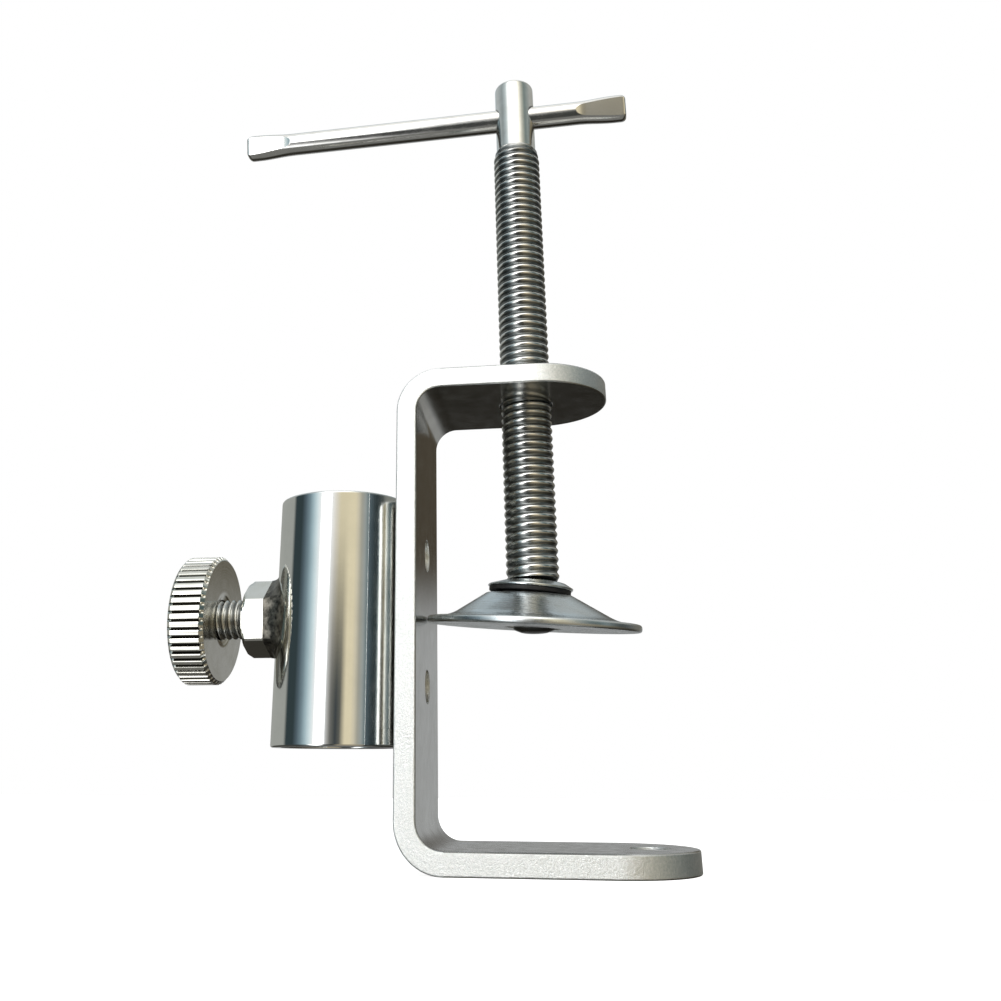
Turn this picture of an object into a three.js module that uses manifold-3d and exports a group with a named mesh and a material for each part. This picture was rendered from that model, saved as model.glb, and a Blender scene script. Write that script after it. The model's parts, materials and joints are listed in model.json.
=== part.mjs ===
// Table clamp with a rod socket, for holding an embroidery stand's arm at a table edge.
// Millimetres, +Z up along the clamp screw, +X from the upright towards the jaw tips.
// The origin lies on the lower jaw's clamping face, under the clamp screw's axis.
import * as THREE from "three";
import { mergeVertices } from "three/addons/utils/BufferGeometryUtils.js";
import Module from "manifold-3d";

const wasm = await Module();
wasm.setup();

// ---- Driving dimensions ----

// Bent flat bar
const BAR_WIDTH = 22;
const BAR_THICKNESS = 3;
const THROAT_DEPTH = 15.8; // screw axis to the upright's inner face
const JAW_OPENING = 63; // between the two jaws
const LOWER_JAW_REACH = 20.7; // screw axis to the tip
const UPPER_JAW_REACH = 12.5;
const INNER_BEND_RADIUS = 3.5;
const OUTER_BEND_RADIUS = INNER_BEND_RADIUS + BAR_THICKNESS;
const JAW_HOLE_RADIUS = 2.6;
const JAW_HOLE_X = 14.1;
const SCREW_HOLE_RADIUS = 4.12;
const PLUG_HOLE_RADIUS = 2.3;
const PLUG_SPACING = 18.9; // between the two plug-weld holes
const PLUG_RECESS = 0.8; // weld surface below the upright's inner face

// Socket tube behind the upright
const TUBE_RADIUS = 9.7;
const TUBE_WALL = 1.5;
const TUBE_LENGTH = 35.5;
const TUBE_BOTTOM = 12.5;
const TUBE_CHAMFER = 0.3;
const WELD_GAP = 0.3; // between the tube and the bar

// Thumbscrew boss on the tube
const BOSS_HEIGHT = 30.8; // axis above the jaw face
const BOSS_ACROSS_FLATS = 10;
const BOSS_OUTER_X = -43;
const BOSS_TURN = 0.14; // how far the hexagon is turned about its axis
const BOSS_CHAMFER = 0.7;
const BOSS_BORE_RADIUS = 3.1;
// The fillet weld at the boss's foot, as [radius, distance behind the tube's nearest line].
const BOSS_WELD_OUTLINE = [
  [6.15, -1.4],
  [6.25, -0.7],
  [6.6, 0.3],
  [6.9, 2.2],
];
const FIT_GAP = 0.2; // between welded pieces

// Thumbscrew, M6 coarse
const STUD_CREST_RADIUS = 2.95;
const STUD_ROOT_RADIUS = 2.45;
const STUD_PITCH = 1;
const STUD_TURNS = 9;
const STUD_TIP_X = -37.2;
const STUD_TIP_LENGTH = 0.5;
const KNOB_RADIUS = 9.5;
const KNOB_WIDTH = 5.45;
const KNOB_INNER_X = -47.3;
const KNOB_FLUTES = 50;
const KNOB_FLUTE_DEPTH = 0.45;
const KNOB_LAND = 0.64; // share of one flute's step that stays at full radius
const KNOB_CHAMFER = 0.55;
const KNOB_BORE_RADIUS = 3.05;
const KNOB_BORE_DEPTH = 4;

// Clamp screw, M8 coarse
const SCREW_CREST_RADIUS = 3.95;
const SCREW_ROOT_RADIUS = 3.5;
const SCREW_PITCH = 1.25;
const SCREW_TURNS = 59;
const HEAD_RADIUS = 3.35;
const HEAD_TOP = 123.1;
const HEAD_CHAMFER = 0.7;
const CROSS_HOLE_RADIUS = 2.15;
const BAR_AXIS_HEIGHT = 116.6;

// Sliding tommy bar through the screw's head
const TOMMY_RADIUS = 2;
const TOMMY_LONG_END = 49.4; // screw axis to the end on the socket's side
const TOMMY_SHORT_END = 19.3;
const TOMMY_TURN = THREE.MathUtils.degToRad(-2);
const PADDLE_LENGTH = 8.5;
const PADDLE_WIDTH = 5;
const PADDLE_THICKNESS = 2.8;
const PADDLE_CORNER = 0.7;
const PADDLE_NECK = 1.6; // half the paddle's width where it leaves the rod
const LONG_PADDLE_TILT = THREE.MathUtils.degToRad(12);
const SHORT_PADDLE_TILT = THREE.MathUtils.degToRad(30);

// Swivel pad, measured from the centre of its ball seat
const PIVOT_HEIGHT = 31.8; // ball centre above the jaw face
const THREAD_END = 3.95;
const NECK_BOTTOM = 3.3;
const NECK_RADIUS = 3.2;
const TAIL_RADIUS = 2.4;
const PEEN_RADIUS = 3.2;
const PEEN_CROWN_RADIUS = 2.2;
const PEEN_TOP = -2.75;
const PEEN_EDGE = -3.1;
const PEEN_BOTTOM = -3.75;
const BALL_RADIUS = 5.2;
const BALL_TOP = 3.2;
const BALL_BOTTOM = -0.2;
const BALL_BORE_RADIUS = 2.5;
const SOCKET_RADIUS = 5.3;
const COLLAR_RADIUS = 6.25;
const COLLAR_BOTTOM = 2.6;
const COLLAR_LIP = 2.86;
const COLLAR_TOP = 3.5;
const COLLAR_TOP_RADIUS = 4.55;
const COLLAR_BORE_RADIUS = 4.02;
const DISH_RADIUS = 15.55;
const DISH_BOTTOM = -3;
const DISH_RIM_TOP = -1.95;
const DISH_FLANGE_RADIUS = 12.3; // where the cone runs out into the flat flange
const DISH_FLANGE_TOP = -1.65;
const DISH_TOP = 1.85;
const DISH_TOP_RADIUS = 6.3;
const DISH_FLOOR = -0.9;
const DISH_BORE_RADIUS = 3.4;
const DISH_RECESS_RADIUS = 4.2;
const DISH_RECESS_FLOOR = -2.1;
const DISH_SIDE_TILT = THREE.MathUtils.degToRad(3.6);
const DISH_FRONT_TILT = THREE.MathUtils.degToRad(4.9);
const COLLAR_SIDE_TILT = THREE.MathUtils.degToRad(5.3);
const COLLAR_FRONT_TILT = THREE.MathUtils.degToRad(3);

const ROUND = 40; // sides of a large round shape
const SMALL_ROUND = 24;
const THREAD_SIDES = 16;
const BEND_STEPS = 8;
const OVERSHOOT = 1; // how far a cutter runs past what it cuts

const UPRIGHT_INNER_X = -THROAT_DEPTH;
const UPRIGHT_OUTER_X = UPRIGHT_INNER_X - BAR_THICKNESS;
const TUBE_X = UPRIGHT_OUTER_X - WELD_GAP - TUBE_RADIUS;
const TUBE_MIDDLE = TUBE_BOTTOM + TUBE_LENGTH / 2;

// ---- Materials ----

const steel = (color, roughness) =>
  new THREE.MeshStandardMaterial({ color, roughness, metalness: 1 });
const platedBar = steel(0xc3cacb, 0.38);
const mirrorChrome = steel(0xd5d8d6, 0.08);
const brightNickel = steel(0xd2d2cc, 0.2);
const turnedSteel = steel(0xa9b0b3, 0.3);
const weldMetal = steel(0x8b857b, 0.45);
const blackenedSteel = steel(0x16171a, 0.5);

// ---- Shape helpers ----

function solid(geometry) {
  const loose = geometry.index ? geometry.toNonIndexed() : geometry;
  const bare = new THREE.BufferGeometry();
  bare.setAttribute("position", loose.getAttribute("position"));
  const merged = mergeVertices(bare, 1e-4);
  return new wasm.Manifold(
    new wasm.Mesh({
      numProp: 3,
      vertProperties: merged.attributes.position.array,
      triVerts: new Uint32Array(merged.index.array),
    }),
  );
}

function surface(body) {
  const mesh = body.getMesh();
  const geometry = new THREE.BufferGeometry();
  geometry.setAttribute("position", new THREE.BufferAttribute(mesh.vertProperties, 3));
  geometry.setIndex(new THREE.BufferAttribute(mesh.triVerts, 1));
  const faceted = geometry.toNonIndexed();
  faceted.computeVertexNormals();
  return faceted;
}

function piece(name, body, material) {
  const mesh = new THREE.Mesh(surface(body), material);
  mesh.name = name;
  return mesh;
}

// A cylinder along +Z, from z = bottom to z = top.
function rod(radius, bottom, top, sides = SMALL_ROUND) {
  return new THREE.CylinderGeometry(radius, radius, top - bottom, sides)
    .rotateX(Math.PI / 2)
    .translate(0, 0, (bottom + top) / 2);
}

// A cylinder along +X, on the line through y = 0 at the height z.
function crossRod(radius, left, right, height, sides = SMALL_ROUND) {
  return rod(radius, left, right, sides).rotateY(Math.PI / 2).translate(0, 0, height);
}

// A solid of revolution about +Z. The profile lists [radius, height], going up the outside.
function turned(profile, sides = ROUND) {
  const points = profile.map(([radius, height]) => new THREE.Vector2(radius, height));
  return new THREE.LatheGeometry(points, sides).rotateX(Math.PI / 2);
}

// Points of a circular arc about the origin, as [radius, height], between two heights.
function zone(radius, from, to, steps) {
  const first = Math.asin(from / radius);
  const last = Math.asin(to / radius);
  return Array.from({ length: steps + 1 }, (_, i) => {
    const angle = first + ((last - first) * i) / steps;
    return [radius * Math.cos(angle), radius * Math.sin(angle)];
  });
}

// V-shaped thread ridges, as [radius, height], from z = bottom upwards.
function ridges(root, crest, pitch, turns, bottom) {
  const points = [];
  for (let i = 0; i < turns; i++) {
    points.push([root, bottom + i * pitch]);
    points.push([crest, bottom + (i + 0.5) * pitch]);
  }
  points.push([root, bottom + turns * pitch]);
  return points;
}

// ---- Bent flat bar ----

function sideProfile() {
  const bendX = UPRIGHT_INNER_X + INNER_BEND_RADIUS;
  const topBendZ = JAW_OPENING - INNER_BEND_RADIUS;
  const quarter = Math.PI / 2;
  const shape = new THREE.Shape();
  shape.moveTo(LOWER_JAW_REACH, -BAR_THICKNESS);
  shape.lineTo(LOWER_JAW_REACH, 0);
  shape.lineTo(bendX, 0);
  shape.absarc(bendX, INNER_BEND_RADIUS, INNER_BEND_RADIUS, -quarter, -2 * quarter, true);
  shape.lineTo(UPRIGHT_INNER_X, topBendZ);
  shape.absarc(bendX, topBendZ, INNER_BEND_RADIUS, 2 * quarter, quarter, true);
  shape.lineTo(UPPER_JAW_REACH, JAW_OPENING);
  shape.lineTo(UPPER_JAW_REACH, JAW_OPENING + BAR_THICKNESS);
  shape.lineTo(bendX, JAW_OPENING + BAR_THICKNESS);
  shape.absarc(bendX, topBendZ, OUTER_BEND_RADIUS, quarter, 2 * quarter, false);
  shape.lineTo(UPRIGHT_OUTER_X, INNER_BEND_RADIUS);
  shape.absarc(bendX, INNER_BEND_RADIUS, OUTER_BEND_RADIUS, 2 * quarter, 3 * quarter, false);
  return shape;
}

// What is cut off a square jaw tip to leave a half-round end.
function tipCorners(reach, bottom) {
  const radius = BAR_WIDTH / 2;
  const block = new THREE.BoxGeometry(
    radius + OVERSHOOT,
    BAR_WIDTH + 2 * OVERSHOOT,
    BAR_THICKNESS + 2 * OVERSHOOT,
  );
  block.translate(reach - radius / 2 + OVERSHOOT / 2, 0, bottom + BAR_THICKNESS / 2);
  const round = rod(
    radius,
    bottom - 2 * OVERSHOOT,
    bottom + BAR_THICKNESS + 2 * OVERSHOOT,
    ROUND,
  );
  return solid(block).subtract(solid(round.translate(reach - radius, 0, 0)));
}

function bentBar() {
  const bar = new THREE.ExtrudeGeometry(sideProfile(), {
    depth: BAR_WIDTH,
    bevelEnabled: false,
    curveSegments: BEND_STEPS,
  });
  bar.rotateX(Math.PI / 2).translate(0, BAR_WIDTH / 2, 0);
  const throughJaw = [-BAR_THICKNESS - OVERSHOOT, OVERSHOOT];
  const jawHole = rod(JAW_HOLE_RADIUS, ...throughJaw).translate(JAW_HOLE_X, 0, 0);
  const screwHole = rod(
    SCREW_HOLE_RADIUS,
    JAW_OPENING - OVERSHOOT,
    JAW_OPENING + BAR_THICKNESS + OVERSHOOT,
    ROUND,
  );
  let body = solid(bar)
    .subtract(tipCorners(LOWER_JAW_REACH, -BAR_THICKNESS))
    .subtract(tipCorners(UPPER_JAW_REACH, JAW_OPENING))
    .subtract(solid(jawHole))
    .subtract(solid(screwHole));
  for (const side of [-1, 1]) {
    const height = TUBE_MIDDLE + (side * PLUG_SPACING) / 2;
    const left = UPRIGHT_OUTER_X - OVERSHOOT;
    const right = UPRIGHT_INNER_X + OVERSHOOT;
    body = body.subtract(solid(crossRod(PLUG_HOLE_RADIUS, left, right, height)));
  }
  return body;
}

// Weld metal that fills a hole in the upright and holds the tube, a little below the surface.
function plugWeld(side) {
  const height = TUBE_MIDDLE + (side * PLUG_SPACING) / 2;
  const left = UPRIGHT_OUTER_X - WELD_GAP / 2;
  const right = UPRIGHT_INNER_X - PLUG_RECESS;
  return solid(crossRod(PLUG_HOLE_RADIUS - FIT_GAP / 2, left, right, height));
}

// ---- Socket tube and its boss ----

function socketTube() {
  const top = TUBE_BOTTOM + TUBE_LENGTH;
  const bore = TUBE_RADIUS - TUBE_WALL;
  const wall = turned([
    [bore, TUBE_BOTTOM],
    [TUBE_RADIUS - TUBE_CHAMFER, TUBE_BOTTOM],
    [TUBE_RADIUS, TUBE_BOTTOM + TUBE_CHAMFER],
    [TUBE_RADIUS, top - TUBE_CHAMFER],
    [TUBE_RADIUS - TUBE_CHAMFER, top],
    [bore, top],
    [bore, TUBE_BOTTOM],
  ]);
  wall.translate(TUBE_X, 0, 0);
  const studHole = crossRod(
    BOSS_BORE_RADIUS,
    TUBE_X - TUBE_RADIUS - OVERSHOOT,
    TUBE_X - bore + 2 * OVERSHOOT,
    BOSS_HEIGHT,
  );
  return solid(wall).subtract(solid(studHole));
}

// A hexagonal bar along +X at the boss's height, with flats the given distance apart.
function hexagon(acrossFlats, left, right) {
  const radius = acrossFlats / Math.sqrt(3);
  return new THREE.CylinderGeometry(radius, radius, right - left, 6)
    .rotateZ(Math.PI / 2)
    .rotateX(BOSS_TURN)
    .translate((left + right) / 2, 0, BOSS_HEIGHT);
}

function tubeClearance() {
  const top = TUBE_BOTTOM + TUBE_LENGTH;
  return solid(rod(TUBE_RADIUS + FIT_GAP, TUBE_BOTTOM, top, ROUND).translate(TUBE_X, 0, 0));
}

function hexBoss() {
  const radius = BOSS_ACROSS_FLATS / Math.sqrt(3);
  const cone = turned(
    [
      [0, BOSS_OUTER_X],
      [radius - BOSS_CHAMFER, BOSS_OUTER_X],
      [radius + OVERSHOOT, BOSS_OUTER_X + BOSS_CHAMFER + OVERSHOOT],
      [radius + OVERSHOOT, TUBE_X],
      [0, TUBE_X],
    ],
    SMALL_ROUND,
  );
  cone.rotateY(Math.PI / 2).translate(0, 0, BOSS_HEIGHT);
  const bore = crossRod(BOSS_BORE_RADIUS, BOSS_OUTER_X - OVERSHOOT, TUBE_X, BOSS_HEIGHT);
  return solid(hexagon(BOSS_ACROSS_FLATS, BOSS_OUTER_X, TUBE_X))
    .intersect(solid(cone))
    .subtract(solid(bore))
    .subtract(tubeClearance());
}

// Fillet weld around the foot of the boss.
function bossWeld() {
  const tubeFace = TUBE_X - TUBE_RADIUS;
  const outline = BOSS_WELD_OUTLINE.map(([radius, depth]) => [radius, tubeFace + depth]);
  const near = outline[0][1];
  const far = outline[outline.length - 1][1];
  const ring = turned([[0, near], ...outline, [0, far]], SMALL_ROUND);
  ring.rotateY(Math.PI / 2).translate(0, 0, BOSS_HEIGHT);
  const around = BOSS_ACROSS_FLATS + 2 * FIT_GAP;
  return solid(ring)
    .subtract(solid(hexagon(around, BOSS_OUTER_X, TUBE_X)))
    .subtract(tubeClearance());
}

// ---- Thumbscrew ----

function thumbscrewStud() {
  const threadLength = STUD_TURNS * STUD_PITCH;
  const threadEnd = STUD_TIP_X - STUD_TIP_LENGTH;
  const threadStart = threadEnd - threadLength;
  const inKnob = KNOB_INNER_X - KNOB_BORE_DEPTH + FIT_GAP;
  const stud = turned(
    [
      [0, inKnob],
      [STUD_CREST_RADIUS, inKnob],
      [STUD_CREST_RADIUS, threadStart - STUD_PITCH / 2],
      ...ridges(STUD_ROOT_RADIUS, STUD_CREST_RADIUS, STUD_PITCH, STUD_TURNS, threadStart),
      [STUD_ROOT_RADIUS - STUD_TIP_LENGTH, STUD_TIP_X],
      [0, STUD_TIP_X],
    ],
    THREAD_SIDES,
  );
  return solid(stud.rotateY(Math.PI / 2).translate(0, 0, BOSS_HEIGHT));
}

function flutedOutline() {
  const shape = new THREE.Shape();
  const step = (2 * Math.PI) / KNOB_FLUTES;
  const corners = [];
  for (let i = 0; i < KNOB_FLUTES; i++) {
    corners.push([KNOB_RADIUS, (i - KNOB_LAND / 2) * step]);
    corners.push([KNOB_RADIUS, (i + KNOB_LAND / 2) * step]);
    corners.push([KNOB_RADIUS - KNOB_FLUTE_DEPTH, (i + 0.5) * step]);
  }
  corners.forEach(([radius, angle], i) => {
    const x = radius * Math.cos(angle);
    const y = radius * Math.sin(angle);
    if (i === 0) shape.moveTo(x, y);
    else shape.lineTo(x, y);
  });
  return shape;
}

function thumbscrewKnob() {
  const outer = KNOB_INNER_X - KNOB_WIDTH;
  const wheel = new THREE.ExtrudeGeometry(flutedOutline(), {
    depth: KNOB_WIDTH,
    bevelEnabled: false,
  });
  wheel.translate(0, 0, outer);
  const edges = turned([
    [0, outer],
    [KNOB_RADIUS - KNOB_CHAMFER, outer],
    [KNOB_RADIUS + FIT_GAP, outer + KNOB_CHAMFER + FIT_GAP],
    [KNOB_RADIUS + FIT_GAP, KNOB_INNER_X - KNOB_CHAMFER - FIT_GAP],
    [KNOB_RADIUS - KNOB_CHAMFER, KNOB_INNER_X],
    [0, KNOB_INNER_X],
  ]);
  const bore = rod(KNOB_BORE_RADIUS, KNOB_INNER_X - KNOB_BORE_DEPTH, KNOB_INNER_X + OVERSHOOT);
  const place = (geometry) =>
    solid(geometry.rotateY(Math.PI / 2).translate(0, 0, BOSS_HEIGHT));
  return place(wheel).intersect(place(edges)).subtract(place(bore));
}

// ---- Clamp screw and tommy bar ----

function clampScrew() {
  const threadBottom = PIVOT_HEIGHT + THREAD_END;
  const shaft = turned(
    [
      [0, PIVOT_HEIGHT + PEEN_BOTTOM],
      [PEEN_CROWN_RADIUS, PIVOT_HEIGHT + (PEEN_BOTTOM + PEEN_EDGE) / 2],
      [PEEN_RADIUS, PIVOT_HEIGHT + PEEN_EDGE],
      [PEEN_RADIUS, PIVOT_HEIGHT + PEEN_TOP],
      [TAIL_RADIUS, PIVOT_HEIGHT + PEEN_TOP],
      [TAIL_RADIUS, PIVOT_HEIGHT + NECK_BOTTOM],
      [NECK_RADIUS, PIVOT_HEIGHT + NECK_BOTTOM],
      ...ridges(SCREW_ROOT_RADIUS, SCREW_CREST_RADIUS, SCREW_PITCH, SCREW_TURNS, threadBottom),
      [HEAD_RADIUS, HEAD_TOP - HEAD_CHAMFER],
      [HEAD_RADIUS - HEAD_CHAMFER, HEAD_TOP],
      [0, HEAD_TOP],
    ],
    THREAD_SIDES,
  );
  const reach = HEAD_RADIUS + OVERSHOOT;
  const crossHole = crossRod(CROSS_HOLE_RADIUS, -reach, reach, BAR_AXIS_HEIGHT);
  return solid(shaft).subtract(solid(crossHole.rotateZ(TOMMY_TURN)));
}

// One end of the tommy bar, pressed flat and wider than the rod. It lies along +X, on y = z = 0.
function paddle(from, to, tilt) {
  const half = PADDLE_WIDTH / 2;
  const inner = to > from ? 1 : -1;
  const shape = new THREE.Shape();
  shape.moveTo(from, -PADDLE_NECK);
  shape.lineTo(from + inner * half, -half);
  shape.lineTo(to - inner * PADDLE_CORNER, -half);
  shape.lineTo(to, -half + PADDLE_CORNER);
  shape.lineTo(to, half - PADDLE_CORNER);
  shape.lineTo(to - inner * PADDLE_CORNER, half);
  shape.lineTo(from + inner * half, half);
  shape.lineTo(from, PADDLE_NECK);
  const plate = new THREE.ExtrudeGeometry(shape, {
    depth: PADDLE_THICKNESS,
    bevelEnabled: false,
  });
  plate.translate(0, 0, -PADDLE_THICKNESS / 2).rotateX(Math.PI / 2 + tilt);
  return solid(plate);
}

function tommyBar() {
  const start = -TOMMY_LONG_END + PADDLE_LENGTH;
  const end = TOMMY_SHORT_END - PADDLE_LENGTH;
  const bar = crossRod(TOMMY_RADIUS, start - OVERSHOOT, end + OVERSHOOT, 0, THREAD_SIDES);
  return solid(bar)
    .add(paddle(start, -TOMMY_LONG_END, LONG_PADDLE_TILT))
    .add(paddle(end, TOMMY_SHORT_END, SHORT_PADDLE_TILT));
}

// ---- Swivel pad ----

function ballSeat() {
  return solid(
    turned(
      [
        [BALL_BORE_RADIUS, BALL_BOTTOM],
        ...zone(BALL_RADIUS, BALL_BOTTOM, BALL_TOP, 6),
        [BALL_BORE_RADIUS, BALL_TOP],
        [BALL_BORE_RADIUS, BALL_BOTTOM],
      ],
      SMALL_ROUND,
    ),
  );
}

function padCollar() {
  const seatTop = Math.sqrt(SOCKET_RADIUS ** 2 - COLLAR_BORE_RADIUS ** 2);
  const seat = zone(SOCKET_RADIUS, COLLAR_BOTTOM, seatTop, 2);
  return solid(
    turned(
      [
        seat[0],
        [COLLAR_RADIUS, COLLAR_BOTTOM],
        [COLLAR_RADIUS, COLLAR_LIP],
        [COLLAR_TOP_RADIUS, COLLAR_TOP],
        [COLLAR_BORE_RADIUS, COLLAR_TOP],
        ...seat.reverse(),
      ],
      SMALL_ROUND,
    ),
  );
}

function padDish() {
  const socket = zone(SOCKET_RADIUS, DISH_FLOOR, DISH_TOP, 4);
  return solid(
    turned([
      [DISH_BORE_RADIUS, DISH_RECESS_FLOOR],
      [DISH_RECESS_RADIUS, DISH_RECESS_FLOOR],
      [DISH_RECESS_RADIUS, DISH_BOTTOM],
      [DISH_RADIUS, DISH_BOTTOM],
      [DISH_RADIUS, DISH_RIM_TOP],
      [DISH_FLANGE_RADIUS, DISH_FLANGE_TOP],
      [DISH_TOP_RADIUS, DISH_TOP],
      ...socket.reverse(),
      [DISH_BORE_RADIUS, DISH_FLOOR],
      [DISH_BORE_RADIUS, DISH_RECESS_FLOOR],
    ]),
  );
}

// ---- Assembly ----

const clamp = new THREE.Group();
clamp.add(
  piece("c_frame", bentBar(), platedBar),
  piece("socket_tube", socketTube(), mirrorChrome),
  piece("upper_plug_weld", plugWeld(1), weldMetal),
  piece("lower_plug_weld", plugWeld(-1), weldMetal),
  piece("hex_boss", hexBoss(), brightNickel),
  piece("boss_weld", bossWeld(), brightNickel),
  piece("thumbscrew_stud", thumbscrewStud(), brightNickel),
  piece("thumbscrew_knob", thumbscrewKnob(), brightNickel),
  piece("clamp_screw", clampScrew(), brightNickel),
);

const handle = new THREE.Group();
handle.position.set(0, 0, BAR_AXIS_HEIGHT);
handle.rotation.set(0, 0, TOMMY_TURN);
handle.add(piece("tommy_bar", tommyBar(), brightNickel));
clamp.add(handle);

const swivel = new THREE.Group();
swivel.position.set(0, 0, PIVOT_HEIGHT);
const collar = piece("pad_collar", padCollar(), turnedSteel);
collar.rotation.set(COLLAR_FRONT_TILT, COLLAR_SIDE_TILT, 0, "YXZ");
const dish = piece("pad_dish", padDish(), turnedSteel);
dish.rotation.set(DISH_FRONT_TILT, DISH_SIDE_TILT, 0, "YXZ");
swivel.add(piece("pad_seat", ballSeat(), blackenedSteel), collar, dish);
clamp.add(swivel);

export default clamp;
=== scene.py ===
"""Looks of a table clamp with a rod socket: metal meshes, their finishes, a white studio and a camera."""
import json
import math

import bmesh
import bpy
import numpy as np
from mathutils import Euler, Matrix, Vector


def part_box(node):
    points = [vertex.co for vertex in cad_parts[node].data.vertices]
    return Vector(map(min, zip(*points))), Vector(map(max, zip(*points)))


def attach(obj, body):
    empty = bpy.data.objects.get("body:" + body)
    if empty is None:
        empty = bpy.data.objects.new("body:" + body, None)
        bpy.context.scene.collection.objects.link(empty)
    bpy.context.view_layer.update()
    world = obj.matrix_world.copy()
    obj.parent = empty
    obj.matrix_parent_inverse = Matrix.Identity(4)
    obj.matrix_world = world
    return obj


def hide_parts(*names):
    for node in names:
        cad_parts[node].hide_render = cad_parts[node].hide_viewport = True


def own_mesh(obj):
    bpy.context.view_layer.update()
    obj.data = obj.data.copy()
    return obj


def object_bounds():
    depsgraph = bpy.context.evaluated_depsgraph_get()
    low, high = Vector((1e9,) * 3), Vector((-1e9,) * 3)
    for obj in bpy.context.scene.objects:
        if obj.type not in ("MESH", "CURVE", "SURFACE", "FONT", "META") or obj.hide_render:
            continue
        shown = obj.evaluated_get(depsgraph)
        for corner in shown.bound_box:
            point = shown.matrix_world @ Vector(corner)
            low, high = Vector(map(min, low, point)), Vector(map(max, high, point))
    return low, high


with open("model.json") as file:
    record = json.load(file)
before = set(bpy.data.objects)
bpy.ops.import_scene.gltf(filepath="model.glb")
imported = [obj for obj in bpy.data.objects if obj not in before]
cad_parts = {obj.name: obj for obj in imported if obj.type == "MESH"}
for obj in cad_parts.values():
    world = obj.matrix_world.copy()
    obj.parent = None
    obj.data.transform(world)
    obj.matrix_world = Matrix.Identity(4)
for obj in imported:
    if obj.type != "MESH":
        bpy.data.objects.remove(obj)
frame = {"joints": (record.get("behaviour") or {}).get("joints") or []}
cad_low, cad_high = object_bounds()

MM = 0.001
JOINTS = {joint["name"]: joint for joint in frame["joints"]}
TURN = 2 * math.pi


# ---- Driving sizes, in millimetres ----

# Bent bar
UPPER_REACH = 12.5
INNER_BEND = 3.5
EDGE_ROUND = 0.28  # rounding along every edge of the bar
SCREW_HOLE = 4.12
JAW_HOLE = 2.6
JAW_HOLE_X = 14.1
PLUG_HOLE = 2.3
HOLE_FLARE = 0.12
PLUG_SUNK = 0.3  # least depth of a weld puddle below the inner face
FIRST_SEED = 3  # of the weld puddles' unevenness
FIT_GAP = 0.02  # between a piece and the neighbour it is fitted to

# Socket tube and boss
TUBE_WALL = 1.5
RIM_ROUND = 0.35
BOSS_FLATS = 10
BOSS_TURN = 0.14
BOSS_BORE = 3.1
WELD_FOOT = 6.5  # radius where the weld runs out on the tube
WELD_HEIGHT = 1.1
BOSS_CORNER = 5.66  # the hexagon's corners are turned down to this radius

# Thumbscrew
STUD_CREST = 2.93
STUD_ROOT = 2.5
STUD_PITCH = 1.0
STUD_TIP = 0.55  # length of the chamfer at its end
FLUTES = 50
FLUTE_DEPTH = 0.5
KNOB_CHAMFER = 0.55
KNOB_BORE = 3.0
KNOB_BORE_DEPTH = 3.9
KNOB_STEP = 3.7  # radius of the turned step around the stud

# Clamp screw
SCREW_CREST = 3.93
SCREW_ROOT = 3.64
SCREW_PITCH = 1.25
SCREW_TURNS = 59
CREST_WIDTH = 0.9  # below 1 makes a thread's crest wider than its root
RUN_IN = 0.15  # pitches over which a thread rises at its start
RUN_OUT = 1.2  # and falls at its end
HEAD_RADIUS = 3.35
HEAD_ROUND = 0.75
NECK_RADIUS = 3.18
CROSS_HOLE = 2.15
TAIL_RADIUS = 2.38
PEEN_RADIUS = 3.15
HEAD_TOP = 123.1

# Tommy bar
BAR_RADIUS = 1.98
LONG_END = 49.4
SHORT_END = 19.3
PADDLE_LENGTH = 8.5
PADDLE_HALF_WIDTH = 2.36
PADDLE_HALF_THICKNESS = 1.38
LONG_TILT = math.radians(12)
SHORT_TILT = math.radians(14)

# Swivel pad, heights from its pivot
THREAD_END = 3.78
NECK_BOTTOM = 3.3
PEEN_TOP = -2.75
PEEN_EDGE = -3.1
PEEN_BOTTOM = -3.72
SEAL_RADIUS = 6.0
SEAL_BORE = 4.9
SEAL_BOTTOM = 1.95
BALL_RADIUS = 5.18
BALL_BORE = 2.52
BALL_TOP = 3.18
BALL_BOTTOM = -0.18
SOCKET_RADIUS = 5.3
COLLAR_RADIUS = 6.2
COLLAR_LEAN = -0.7  # the collar's lower edge sits this much off its axis
COLLAR_BOTTOM = 2.6
COLLAR_LIP = 2.9
COLLAR_TOP = 3.6
COLLAR_TOP_RADIUS = 4.4
COLLAR_BORE = 4.02
COLLAR_ROUND = 0.14
SEAL_ROUND = 0.12
DISH_RADIUS = 15.52
DISH_BOTTOM = -2.98
DISH_RIM_TOP = -1.95
DISH_RIM_ROUND = 0.5
DISH_FLANGE = 12.3  # radius where the cone runs out into the flat flange
DISH_FLANGE_TOP = -1.68
DISH_FLANGE_ROUND = 2.2
DISH_TOP_ROUND = 0.12
DISH_TOP = 1.82
DISH_TOP_RADIUS = 6.25
DISH_LEAN = -0.7
DISH_FLOOR = -0.9
DISH_BORE = 3.42
DISH_RECESS = 4.2
DISH_RECESS_FLOOR = -2.1
DISH_TILT = (math.radians(4.9), math.radians(3.6))  # about X, about Y
COLLAR_TILT = (math.radians(3), math.radians(5.3))

# Camera, its angles in radians
CAMERA_PLACE = (6.929, -153.480, 9.830)
CAMERA_YAW = 0.158548
CAMERA_PITCH = 0.379170
CAMERA_ROLL = 0.002923
LENS = 36.775
SENSOR = 36
LENS_SHIFT = (0.08436, -0.13960)


# ---- Places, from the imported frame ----

def box_mm(node):
    low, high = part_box(node)
    return np.array(low) / MM, np.array(high) / MM


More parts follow.
